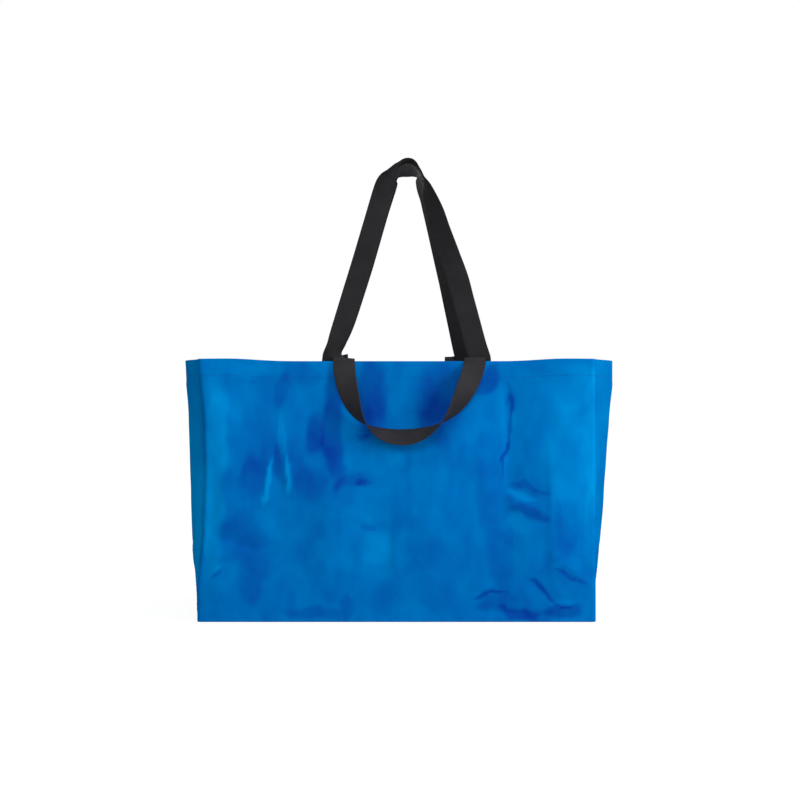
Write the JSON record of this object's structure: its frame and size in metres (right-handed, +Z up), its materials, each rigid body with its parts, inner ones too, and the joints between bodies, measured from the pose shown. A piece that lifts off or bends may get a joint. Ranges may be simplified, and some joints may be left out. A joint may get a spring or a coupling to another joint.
{
  "type": "plastic carrier bag",
  "caption": "Wide open-topped carrier bag of laminated woven plastic with a folded hem and long and short webbing handles, standing upright on its flat base.",
  "frame": {"origin": "centre of the base's underside, on the surface that the bag stands on", "axes": "+X to the right along the wide front panel, +Y from the front panel to the back panel, +Z up"},
  "size_m": [0.606, 0.2374, 0.6514],
  "materials": {
    "laminate": "satin film over woven plastic tape",
    "webbing": "matt woven webbing"
  },
  "bodies": {
    "root": {"bag_body": "laminate", "long_handle_front": "webbing", "long_handle_back": "webbing", "short_handle_front": "webbing", "short_handle_back": "webbing"}
  },
  "joints": []
}
